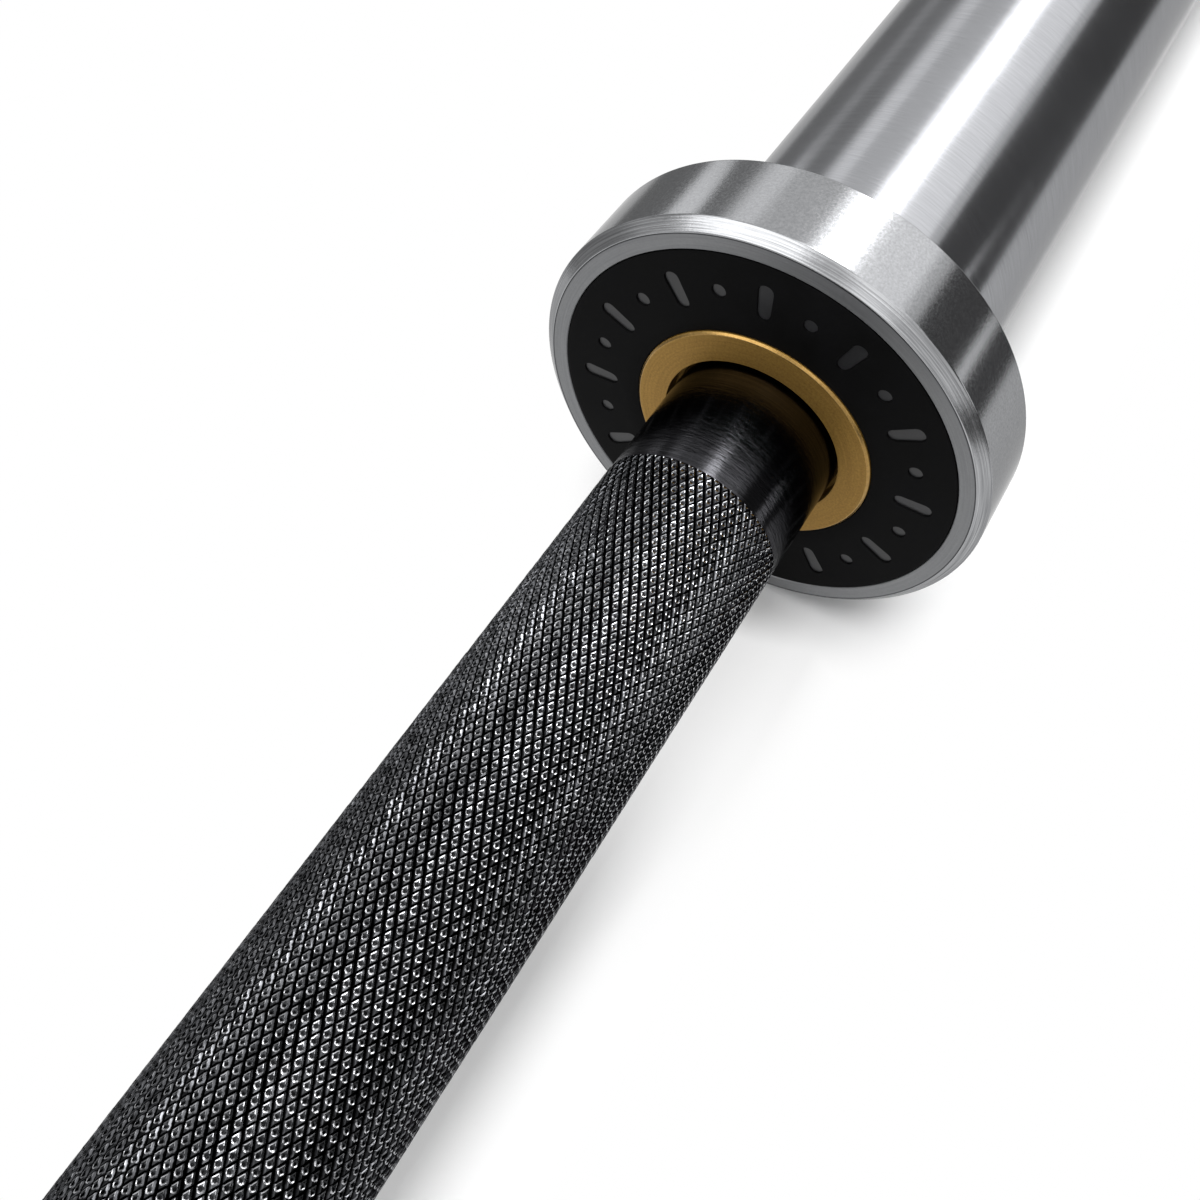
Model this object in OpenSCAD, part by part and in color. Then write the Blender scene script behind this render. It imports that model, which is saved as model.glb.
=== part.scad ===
// Olympic barbell: a black knurled shaft with a free-spinning plate sleeve at each end.
// Units are millimetres. The bar lies along X with its middle at the origin, and Z is up.

/* [Bar] */
// Overall length, from sleeve end to sleeve end
overall_length = 2200; // [1900:5:2300]
// Distance between the inner faces of the two collars
collar_span = 1310; // [1200:5:1400]

/* [Shaft] */
// Diameter of the smooth parts of the shaft
shaft_d = 28; // [27:0.5:30]
// Diameter of the turned-down journal that carries the outer bushing
journal_d = 25; // [22:0.5:26]
// Width of the bevel at each end of the shaft
shaft_end_bevel = 1.5; // [0.5:0.1:2]

/* [Knurl] */
// Height of the knurl's crests above the smooth steel
knurl_raise = 0.12; // [0.05:0.01:0.3]
// Length over which the knurl fades out at its ends
knurl_fade = 0.4; // [0.2:0.1:1]
// Smooth neck between the collar and the knurl
neck_length = 20; // [12:1:40]
// Distance from the collar to the outer edge of the smooth hand mark
mark_from_collar = 195; // [150:5:250]
// Width of the smooth hand mark
mark_width = 5; // [3:0.5:8]
// Distance from the collar to the inner end of the hand knurl
hand_knurl_reach = 445; // [400:5:500]
// Length of the knurl in the middle of the bar
centre_knurl = 120; // [60:5:160]

/* [Collar] */
// Outer diameter of the collar
collar_d = 75; // [72:0.5:84]
// Width of the collar along the bar
collar_width = 15; // [13:0.5:20]
// Height of the turned bevel round the collar's inner face, across the bar
collar_bevel_height = 1.7; // [0.8:0.1:2.2]
// Width of the same bevel, along the bar
collar_bevel_width = 1.5; // [0.8:0.1:2.5]
// Bevel at the collar's plate side
collar_back_bevel = 0.3; // [0.1:0.1:0.8]
// Bevel at the mouth of the collar's recess
recess_edge_bevel = 0.15; // [0.05:0.05:0.3]

/* [Face ring] */
// Outer diameter of the black ring set in the collar's face
face_ring_d = 66; // [62:0.5:67]
// Thickness of the face ring, which is also the depth of its recess
face_ring_thickness = 3.5; // [2:0.5:5]
// Bevel on the face ring's visible edges
face_ring_bevel = 0.2; // [0.1:0.1:0.4]
// Radial gap round the face ring, and between it and the bushing's flange
face_ring_gap = 0.1; // [0.05:0.05:0.2]

/* [Bushings] */
// Outer diameter of both bushings where they sit in the sleeve
bushing_d = 35; // [34:0.5:37]
// Diameter of the inner bushing's visible flange
bushing_flange_d = 39.5; // [38.5:0.5:42]
// How far that flange stands out of the face ring
bushing_proud = 0.4; // [0.2:0.1:1]
// Bevel round the edge of that flange
bushing_rim_bevel = 0.35; // [0.1:0.05:0.6]
// Overall length of the inner bushing, flange included
inner_bushing_length = 45; // [30:1:60]
// Length of the outer bushing
outer_bushing_length = 30; // [20:1:40]
// Radial relief at the mouth of the inner bushing's bore
mouth_relief = 0.65; // [0.3:0.05:1]
// Depth of that relief
mouth_depth = 3; // [1:0.5:6]
// Radial running gap between shaft and bushings
running_gap = 0.08; // [0.03:0.01:0.1]
// Bevel at the hidden ends of the bushings
bushing_end_bevel = 0.5; // [0.2:0.1:1]

/* [Sleeve] */
// Outer diameter of the sleeve, which plates slide over
sleeve_d = 50; // [49:0.25:51]
// Radial space between the shaft and the sleeve's bore, between the bushings
sleeve_bore_gap = 1; // [0.6:0.1:1.6]
// Diameter of the sleeve's spigot, which the collar is pressed on
spigot_d = 43; // [42.5:0.5:45]
// Depth of the spigot's shoulder behind the collar's plate side
shoulder_depth = 5; // [2:0.5:7]
// Radial step from that shoulder up to the diameter that plates slide on
shoulder_step = 0.5; // [0.3:0.1:0.8]
// Lead-in bevel at the sleeve's open end
sleeve_lead = 2; // [1:0.5:3]

/* [Retaining parts] */
// Thickness of the thrust washers
washer_thickness = 2; // [1:0.25:3]
// Radial gap between the washers and the journal
washer_bore_gap = 0.15; // [0.1:0.05:0.4]
// Radial gap between the washers and the sleeve
washer_rim_gap = 0.4; // [0.3:0.05:0.8]
// Axial play at each face of the outer bushing's thrust washers
end_play = 0.1; // [0.05:0.05:0.3]
// Thickness of the snap rings on the shaft
snap_ring_thickness = 1.2; // [1:0.1:1.5]
// Depth of the shaft's snap ring grooves
snap_groove_depth = 0.55; // [0.4:0.05:0.8]
// Widest part of a snap ring, opposite its gap
snap_ring_wide = 3; // [2.5:0.1:3.2]
// Narrowest part of a snap ring, beside its gap
snap_ring_narrow = 2; // [1.5:0.1:2.4]
// Distance from the first snap ring to the second
snap_ring_pitch = 4; // [3:0.5:6]
// Land between the second snap ring and the end of the shaft
shaft_end_land = 3.5; // [2.5:0.5:6]

/* [End cap] */
// Diameter of the end cap
cap_d = 38; // [37.5:0.5:41]
// Thickness of the end cap
cap_thickness = 6; // [4:0.5:8]
// Distance from the sleeve's end face to the end cap
cap_recess = 4; // [3.5:0.5:6]
// Diameter of the shallow dish in the end cap
cap_dish_d = 28; // [20:1:30]
// Depth of that dish
cap_dish_depth = 0.8; // [0.3:0.1:1.5]
// Free space between the shaft's end and the end cap
cap_space = 4; // [2:0.5:8]
// Thickness of the ring that holds the end cap
cap_ring_thickness = 1.5; // [1.2:0.1:1.8]
// Depth of that ring's groove in the sleeve
cap_groove_depth = 1.2; // [0.8:0.1:1.4]

/* [Hidden] */

// Smoothness of the turned surfaces
$fn = 96;
// Radial and axial gap of pieces that are pressed or seated together
seat_gap = 0.02;
// Gap between a snap ring and the walls of its groove
groove_gap = 0.05;
// Small bevel that breaks a turned edge
edge_break = 0.5;
// Half angle of a snap ring's open gap, and the angle from the gap's middle to each lug
gap_half_angle = 9;
lug_angle = 19;
// Radius of a snap ring's lugs, and of the plier holes in them
lug_r = 2.3;
lug_hole_r = 1.1;
// Share of a lug's radius by which the lug's centre lies off the ring's edge
lug_seat = 0.9;

// Radii
shaft_r = shaft_d / 2;
knurl_r = shaft_r + knurl_raise;
journal_r = journal_d / 2;
snap_groove_r = journal_r - snap_groove_depth;
collar_r = collar_d / 2;
face_ring_r = face_ring_d / 2;
recess_r = face_ring_r + face_ring_gap;
bushing_r = bushing_d / 2;
bushing_flange_r = bushing_flange_d / 2;
seat_r = bushing_r + seat_gap;
sleeve_r = sleeve_d / 2;
shoulder_r = sleeve_r - shoulder_step;
sleeve_bore_r = shaft_r + sleeve_bore_gap;
spigot_r = spigot_d / 2;
cap_r = cap_d / 2;
cap_seat_r = cap_r + seat_gap;
cap_groove_r = cap_seat_r + cap_groove_depth;

// Places along the right half of the bar, from the collar outwards
face_x = collar_span / 2;
recess_x = face_x + face_ring_thickness;
bushing_face_x = face_x - bushing_proud;
inner_bushing_end = bushing_face_x + inner_bushing_length;
collar_back_x = face_x + collar_width;
spigot_shoulder_x = collar_back_x - shoulder_depth;
sleeve_end = overall_length / 2;

// Places of the retaining parts, from the sleeve's end inwards
cap_face_x = sleeve_end - cap_recess;
cap_back_x = cap_face_x - cap_thickness;
shaft_end = cap_back_x - cap_space;
lock_ring_x = shaft_end - shaft_end_land - snap_ring_thickness;
snap_ring_x = lock_ring_x - snap_ring_pitch;
outer_washer_x = snap_ring_x - end_play - washer_thickness;
outer_bushing_end = outer_washer_x - end_play;
outer_bushing_x = outer_bushing_end - outer_bushing_length;
inner_washer_x = outer_bushing_x - end_play - washer_thickness;
shoulder_x = inner_washer_x - end_play;

// Places of the knurl along the right half of the shaft
knurl_start = face_x - neck_length;
mark_outer = face_x - mark_from_collar;
mark_inner = mark_outer - mark_width;
hand_knurl_end = face_x - hand_knurl_reach;

// Knurled stretches of the right half beyond the middle one, each as [inner end, outer end]
hand_knurls = [
  [hand_knurl_end, mark_inner],
  [mark_outer, knurl_start]
];

// A solid turned about the bar's axis from a list of [radius, place along the bar]
module turned(profile) {
  rotate([0, 90, 0])
    rotate_extrude()
      polygon(profile);
}

// A flat outline set square to the bar's axis
module plate_at(place, thickness) {
  rotate([0, 90, 0])
    translate([0, 0, place])
      linear_extrude(thickness)
        children();
}

// The same piece at the left end of the bar
module at_left() {
  mirror([1, 0, 0])
    children();
}

// Outline of one knurled stretch, which stands above the smooth shaft
function knurl_steps(zone) = [
  [shaft_r, zone[0]],
  [knurl_r, zone[0] + knurl_fade],
  [knurl_r, zone[1] - knurl_fade],
  [shaft_r, zone[1]]
];

// Outline of one snap ring groove in the journal
function groove_steps(place) = [
  [journal_r, place - groove_gap],
  [snap_groove_r, place - groove_gap],
  [snap_groove_r, place + snap_ring_thickness + groove_gap],
  [journal_r, place + snap_ring_thickness + groove_gap]
];

// Right half of the shaft's outline, from the middle of the bar outwards
half_shaft = concat(
  [
    [knurl_r, centre_knurl / 2 - knurl_fade],
    [shaft_r, centre_knurl / 2]
  ],
  [for (zone = hand_knurls) each knurl_steps(zone)],
  [
    [shaft_r, shoulder_x],
    [journal_r, shoulder_x]
  ],
  groove_steps(snap_ring_x),
  groove_steps(lock_ring_x),
  [
    [journal_r, shaft_end - shaft_end_bevel],
    [journal_r - shaft_end_bevel, shaft_end],
    [0, shaft_end]
  ]
);

// The same outline mirrored to the left half
mirrored_half_shaft = [
  for (i = [len(half_shaft) - 1 : -1 : 0]) [half_shaft[i][0], -half_shaft[i][1]]
];

module shaft() {
  color("#1b1b1d")
    turned(concat(mirrored_half_shaft, half_shaft));
}

// Tube that the plates slide on, with a spigot for the collar and seats for bushings and cap
module sleeve() {
  color("#c9cacd")
    turned([
      [seat_r + edge_break / 2, recess_x],
      [spigot_r, recess_x],
      [spigot_r, spigot_shoulder_x],
      [shoulder_r, spigot_shoulder_x],
      [shoulder_r, collar_back_x],
      [sleeve_r, collar_back_x],
      [sleeve_r, sleeve_end - sleeve_lead],
      [sleeve_r - sleeve_lead, sleeve_end],
      [cap_seat_r + edge_break, sleeve_end],
      [cap_seat_r, sleeve_end - edge_break],
      [cap_seat_r, cap_face_x + cap_ring_thickness + groove_gap],
      [cap_groove_r, cap_face_x + cap_ring_thickness + groove_gap],
      [cap_groove_r, cap_face_x],
      [cap_seat_r, cap_face_x],
      [cap_seat_r, cap_back_x],
      [seat_r, cap_back_x],
      [seat_r, outer_bushing_x],
      [sleeve_bore_r, outer_bushing_x],
      [sleeve_bore_r, inner_bushing_end],
      [seat_r, inner_bushing_end],
      [seat_r, recess_x + edge_break / 2]
    ]);
}

// Wide ring pressed on the sleeve's spigot, with the recess for the face ring
module collar() {
  spigot_bore_r = spigot_r + seat_gap;
  shoulder_bore_r = shoulder_r + seat_gap;
  color("#a9abae")
    turned([
      [spigot_bore_r, recess_x],
      [recess_r, recess_x],
      [recess_r, face_x + recess_edge_bevel],
      [recess_r + recess_edge_bevel, face_x],
      [collar_r - collar_bevel_height, face_x],
      [collar_r, face_x + collar_bevel_width],
      [collar_r, collar_back_x - collar_back_bevel],
      [collar_r - collar_back_bevel, collar_back_x],
      [sleeve_r + seat_gap, collar_back_x],
      [shoulder_bore_r, collar_back_x - shoulder_step],
      [shoulder_bore_r, spigot_shoulder_x],
      [spigot_bore_r, spigot_shoulder_x]
    ]);
}

// Flat black ring that fills the recess round the bushing's flange
module face_ring() {
  hole_r = bushing_flange_r + face_ring_gap;
  color("#161616")
    turned([
      [hole_r, recess_x],
      [hole_r, face_x + face_ring_bevel],
      [hole_r + face_ring_bevel, face_x],
      [face_ring_r - face_ring_bevel, face_x],
      [face_ring_r, face_x + face_ring_bevel],
      [face_ring_r, recess_x]
    ]);
}

// Flanged bronze bushing at the collar, relieved at its mouth
module inner_bushing() {
  bore_r = shaft_r + running_gap;
  color("#8a6a38")
    turned([
      [bore_r, bushing_face_x + mouth_depth],
      [bore_r + mouth_relief, bushing_face_x + mouth_depth],
      [bore_r + mouth_relief, bushing_face_x],
      [bushing_flange_r - bushing_rim_bevel, bushing_face_x],
      [bushing_flange_r, bushing_face_x + bushing_rim_bevel],
      [bushing_flange_r, recess_x],
      [bushing_r, recess_x],
      [bushing_r, inner_bushing_end - bushing_end_bevel],
      [bushing_r - bushing_end_bevel, inner_bushing_end],
      [bore_r, inner_bushing_end]
    ]);
}

// Plain bronze bushing on the journal
module outer_bushing() {
  bore_r = journal_r + running_gap;
  color("#8a6a38")
    turned([
      [bore_r, outer_bushing_x],
      [bushing_r - bushing_end_bevel, outer_bushing_x],
      [bushing_r, outer_bushing_x + bushing_end_bevel],
      [bushing_r, outer_bushing_end - bushing_end_bevel],
      [bushing_r - bushing_end_bevel, outer_bushing_end],
      [bore_r, outer_bushing_end]
    ]);
}

// Flat steel thrust washer round the journal
module thrust_washer(place, rim_r) {
  color("#8f9296")
    plate_at(place, washer_thickness)
      difference() {
        circle(r = rim_r);
        circle(r = journal_r + washer_bore_gap);
      }
}

module inner_washer() {
  thrust_washer(inner_washer_x, sleeve_bore_r - washer_rim_gap);
}

module outer_washer() {
  thrust_washer(outer_washer_x, seat_r - washer_rim_gap);
}

// Wedge that opens a snap ring at its gap
module ring_gap(reach) {
  polygon([
    [0, 0],
    [reach * cos(gap_half_angle), reach * sin(gap_half_angle)],
    [reach * cos(gap_half_angle), -reach * sin(gap_half_angle)]
  ]);
}

// Circles at the two lugs of a snap ring
module at_lugs(centre_r, r) {
  for (side = [-1, 1])
    rotate(side * lug_angle)
      translate([centre_r, 0])
        circle(r = r, $fn = 32);
}

// Open ring that grips a shaft's groove, thickest opposite its gap, with lugs outside
module shaft_ring_outline(inside_r) {
  lug_centre_r = inside_r + lug_seat * lug_r;
  difference() {
    union() {
      difference() {
        translate([-(snap_ring_wide - snap_ring_narrow) / 2, 0])
          circle(r = inside_r + (snap_ring_wide + snap_ring_narrow) / 2);
        ring_gap(2 * inside_r);
      }
      at_lugs(lug_centre_r, lug_r);
    }
    circle(r = inside_r);
    at_lugs(lug_centre_r, lug_hole_r);
  }
}

// Open ring that springs out into a bore's groove, with lugs inside
module bore_ring_outline(outside_r) {
  lug_centre_r = outside_r - lug_seat * lug_r;
  intersection() {
    circle(r = outside_r);
    difference() {
      union() {
        difference() {
          circle(r = outside_r);
          translate([(snap_ring_wide - snap_ring_narrow) / 2, 0])
            circle(r = outside_r - (snap_ring_wide + snap_ring_narrow) / 2);
          ring_gap(2 * outside_r);
        }
        at_lugs(lug_centre_r, lug_r);
      }
      at_lugs(lug_centre_r, lug_hole_r);
    }
  }
}

module shaft_ring(place) {
  color("#3b3d40")
    plate_at(place, snap_ring_thickness)
      shaft_ring_outline(snap_groove_r + groove_gap);
}

// Snap ring that takes the sleeve's outward thrust
module snap_ring() {
  shaft_ring(snap_ring_x);
}

// Second snap ring, which holds the sleeve if the first one fails
module lock_ring() {
  shaft_ring(lock_ring_x);
}

// Round plate that closes the sleeve, with a shallow dish
module end_cap() {
  color("#1f1f21")
    turned([
      [0, cap_back_x],
      [cap_r, cap_back_x],
      [cap_r, cap_face_x - edge_break],
      [cap_r - edge_break, cap_face_x],
      [cap_dish_d / 2 + cap_dish_depth, cap_face_x],
      [cap_dish_d / 2, cap_face_x - cap_dish_depth],
      [0, cap_face_x - cap_dish_depth]
    ]);
}

// Ring in the sleeve's groove that holds the end cap
module cap_ring() {
  color("#3b3d40")
    plate_at(cap_face_x + seat_gap, cap_ring_thickness)
      bore_ring_outline(cap_groove_r - groove_gap);
}

shaft();
at_left() sleeve();  // left_sleeve
at_left() collar();  // left_collar
at_left() face_ring();  // left_face_ring
at_left() inner_bushing();  // left_inner_bushing
at_left() outer_bushing();  // left_outer_bushing
at_left() inner_washer();  // left_inner_washer
at_left() outer_washer();  // left_outer_washer
at_left() snap_ring();  // left_snap_ring
at_left() lock_ring();  // left_lock_ring
at_left() end_cap();  // left_end_cap
at_left() cap_ring();  // left_cap_ring
sleeve();  // right_sleeve
collar();  // right_collar
face_ring();  // right_face_ring
inner_bushing();  // right_inner_bushing
outer_bushing();  // right_outer_bushing
inner_washer();  // right_inner_washer
outer_washer();  // right_outer_washer
snap_ring();  // right_snap_ring
lock_ring();  // right_lock_ring
end_cap();  // right_end_cap
cap_ring();  // right_cap_ring
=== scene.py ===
"""Looks of the olympic barbell: finely turned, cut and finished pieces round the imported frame."""
import math

import bpy
import numpy as np
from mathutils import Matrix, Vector


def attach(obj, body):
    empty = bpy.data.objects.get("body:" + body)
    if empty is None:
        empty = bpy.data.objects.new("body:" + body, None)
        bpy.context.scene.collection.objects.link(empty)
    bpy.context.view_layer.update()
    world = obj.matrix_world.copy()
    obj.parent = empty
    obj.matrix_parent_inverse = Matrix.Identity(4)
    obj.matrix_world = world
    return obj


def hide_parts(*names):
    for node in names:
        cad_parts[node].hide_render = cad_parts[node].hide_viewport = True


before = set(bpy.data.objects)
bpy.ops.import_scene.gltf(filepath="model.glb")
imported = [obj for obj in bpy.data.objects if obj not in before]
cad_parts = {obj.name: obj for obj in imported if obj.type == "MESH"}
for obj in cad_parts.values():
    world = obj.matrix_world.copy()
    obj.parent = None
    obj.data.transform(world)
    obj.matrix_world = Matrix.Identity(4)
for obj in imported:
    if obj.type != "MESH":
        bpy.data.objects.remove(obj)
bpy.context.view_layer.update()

MM = 0.001
SIDES = {"left": -1, "right": 1}

# Points round the axis: on most turned pieces, on the collar, whose rim is the widest curve, and on
# what lies mostly inside the sleeve
AROUND, AROUND_COLLAR, AROUND_HIDDEN = 520, 640, 256

# Lengths and radii are in mm. Places are counted from the bar's middle along its right half; the
# left half mirrors them.

# Shaft
SHAFT_R = 14.0
CREST_R = 14.12
GROOVE_R = 13.85
CENTRE_KNURL = 60
HAND_KNURL = (210, 455)
HAND_MARK = (455, 460)
COLLAR_KNURL = (460, 635)
RING_SPACING = 12                # between rings of points on the smooth lengths
SHOULDER = 1042.9
JOURNAL_R = 12.5
GROOVE_FLOOR_R = 11.95
RING_GROOVES = (1077.3, 1081.3)
RING_THICK = 1.2
GROOVE_PLAY = 0.05               # each side of a snap ring in its groove
SHAFT_END = 1086

# Knurl: diamonds round the shaft, half the width of one, and the step from one row to the next
DIAMONDS = 65
HALF_DIAMOND = math.pi * SHAFT_R / DIAMONDS
ROW_STEP = 1.22
# The share of a diamond that is its flat top, between the deep grooves and between the narrow ones
TOP_DEEP, TOP_NARROW = 0.46, 0.77
# The share of its relief that the end row of a length keeps
END_RELIEF = 0.45
# How far the roller leaves a top too low, as a whole and at each of its four points
TOP_STRAY, POINT_STRAY = 0.016, 0.022
# The crater in each top: radii of its floor and its rim, its depth, and how far it strays
CRATER_FLOOR, CRATER_RIM, CRATER_DEPTH, CRATER_STRAY = 0.10, 0.37, 0.13, 0.25
# A place, counted in diamonds from the middle of one, that is outside every crater
NO_CRATER = (9, 9)

# Collar, sleeve and what they hold
FIT = 0.02                       # between a bore and what is pressed into it
FACE = 655.0                     # the collar's face
RECESS = 658.5                   # floor of the recess in that face, where the sleeve begins
FRONT_END = 660.0                # all of a collar's front lies before this place
STEP = 665                       # step in the collar's bore, and on the sleeve's nose
BACK = 670                       # the collar's back
BUSHING_END = 699.6
OUTER_SEAT = 1045.1              # where the outer bushing's seat begins
CAP_BACK, CAP_FACE = 1090, 1096
SLEEVE_END = 1100
COLLAR_R = 37.5
SLEEVE_R = 25
NOSE_R, SHANK_R = 21.5, 24.5     # the sleeve inside the collar, before and behind the step
BORE_R = 15                      # the sleeve's bore
BUSHING_R = 17.5
CAP_R = 19.0

# The black face ring, and the sunk marks on it: their number, the circle they lie on, half their
# width, half the length of a long one and of a round one, and their depth and wall
RING_INNER, RING_OUTER = 19.85, 33.0
MARKS = 24
MARK_CIRCLE = 26.75
MARK_HALF = 1.15
MARK_SPANS = (3.05, 1.16)
MARK_DEPTH, MARK_WALL = 0.3, 0.1


# ---------------------------------------------------------------- meshes

def shell(name, points, quads, triangles, finishes, finish_of=None, local=None):
    """A mesh piece from whole arrays of points (mm), quads and triangles, turned so that its faces
    point outwards: the signed volume is the sum of each triangle's corner product over six. local
    holds a pair of coordinates for each corner of the quads and of the triangles."""
    quads = np.asarray(quads, np.int32).reshape(-1, 4)
    triangles = np.asarray(triangles, np.int32).reshape(-1, 3)
    corners = np.concatenate([quads.ravel(), triangles.ravel()])
    used, corners = np.unique(corners, return_inverse=True)
    quads, triangles = corners[:quads.size].reshape(-1, 4), corners[quads.size:].reshape(-1, 3)
    points = np.asarray(points, float)[used] * MM
    halves = np.concatenate([quads[:, [0, 1, 2]], quads[:, [0, 2, 3]], triangles])
    a, b, c = (points[halves[:, i]] for i in range(3))
    if (np.cross(a, b) * c).sum() < 0:
        quads, triangles = quads[:, ::-1], triangles[:, ::-1]
        local = local and [part[:, ::-1] for part in local]
    mesh = bpy.data.meshes.new(name)
    mesh.vertices.add(len(points))
    mesh.vertices.foreach_set("co", points.ravel())
    loops = np.concatenate([quads.ravel(), triangles.ravel()]).astype(np.int32)
    mesh.loops.add(len(loops))
    mesh.loops.foreach_set("vertex_index", loops)
    starts = np.concatenate([np.arange(len(quads)) * 4, quads.size + np.arange(len(triangles)) * 3])
    mesh.polygons.add(len(starts))
    mesh.polygons.foreach_set("loop_start", starts.astype(np.int32))
    mesh.update(calc_edges=True)
    mesh.shade_smooth()
    if local:
        spots = np.concatenate([part.ravel() for part in local]).astype(np.float32)
        mesh.uv_layers.new(name="diamond").uv.foreach_set("vector", spots)
    for finish in finishes:
        mesh.materials.append(finish)
    if finish_of is not None:
        mesh.polygons.foreach_set("material_index", np.asarray(finish_of, np.int32))
    piece = bpy.data.objects.new(name, mesh)
    bpy.context.scene.collection.objects.link(piece)
    return piece


def round_axis(x, r, angle):
    """Points at place x along the bar and radius r: (x, r cos angle, r sin angle)."""
    return np.stack(np.broadcast_arrays(x, r * np.cos(angle), r * np.sin(angle)), -1)


def quads_between(rows, cols, closed):
    """The quads of a grid of points: corner (i, j) joins (i + 1, j), (i + 1, j + 1) and (i, j + 1).
    Columns run round the axis, and rows come back to the first where the section is closed."""
    i, j = np.mgrid[:rows if closed else rows - 1, :cols]
    i2, j2 = (i + 1) % rows, (j + 1) % cols
    return np.stack([i * cols + j, i2 * cols + j, i2 * cols + j2, i * cols + j2], -1).reshape(-1, 4)


def eased(corners, ease, steps=4):
    """Rounds every corner of a profile: a corner becomes the curve (1-t)^2 A + 2t(1-t) C + t^2 B
    between a point A before it and a point B after it, with one more point just outside each.
    A and B lie ease from the corner, or 0.3 of the side where that is less. A corner is (place,
    radius, finish of the side after it), and the profile is a closed loop."""
    spots = np.array([c[:2] for c in corners], float)
    before, after = np.roll(spots, 1, 0), np.roll(spots, -1, 0)
    t = np.linspace(0, 1, steps + 1)[:, None]
    out, sides = [], []
    for i, (p, c, n) in enumerate(zip(before, spots, after)):
        u, w = p - c, n - c
        lu, lw = np.hypot(*u), np.hypot(*w)
        cut = min(ease, 0.3 * lu, 0.3 * lw)
        u, w = u / lu, w / lw
        a, b = c + u * cut, c + w * cut
        curve = (1 - t) ** 2 * a + 2 * t * (1 - t) * c + t ** 2 * b
        out += [c + u * cut * 1.5, *curve, c + w * cut * 1.5]
        sides += [corners[i - 1][2]] + [corners[i][2]] * (steps + 2)
    return np.array(out), sides


def turned(name, corners, finishes, side, ease, around=AROUND):
    """A closed ring turned about the bar's axis: the eased profile's point (place x, radius r) at
    angle t is (x, r cos t, r sin t), and the last point of the profile joins the first."""
    profile, sides = eased(corners, ease)
    angle = np.arange(around) * 2 * np.pi / around
    points = round_axis(profile[:, :1] * side, profile[:, 1:], angle).reshape(-1, 3)
    quads = quads_between(len(profile), around, closed=True)
    return shell(name, points, quads, (), finishes, np.repeat(sides, around))


def bar_length(name, profile, finishes, side, around=AROUND, sharp=30):
    """A solid length of round bar: profile points (place x, radius r) turned about the axis, with a
    point on the axis closing each end. An edge that turns by more than sharp degrees is crisp."""
    profile = np.array(profile, float) * (side, 1)
    angle = np.arange(around) * 2 * np.pi / around
    grid = round_axis(profile[:, :1], profile[:, 1:], angle).reshape(-1, 3)
    points = np.concatenate([grid, profile[[0, -1], :1] * (1, 0, 0)])
    quads = quads_between(len(profile), around, closed=False)
    j, last, pole = np.arange(around), (len(profile) - 1) * around, len(grid)
    near = np.stack([0 * j + pole, j, (j + 1) % around], -1)
    far = np.stack([0 * j + pole + 1, last + (j + 1) % around, last + j], -1)
    piece = shell(name, points, quads, np.concatenate([near, far]), finishes)
    piece.data.set_sharp_from_angle(angle=math.radians(sharp))
    return piece


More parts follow.
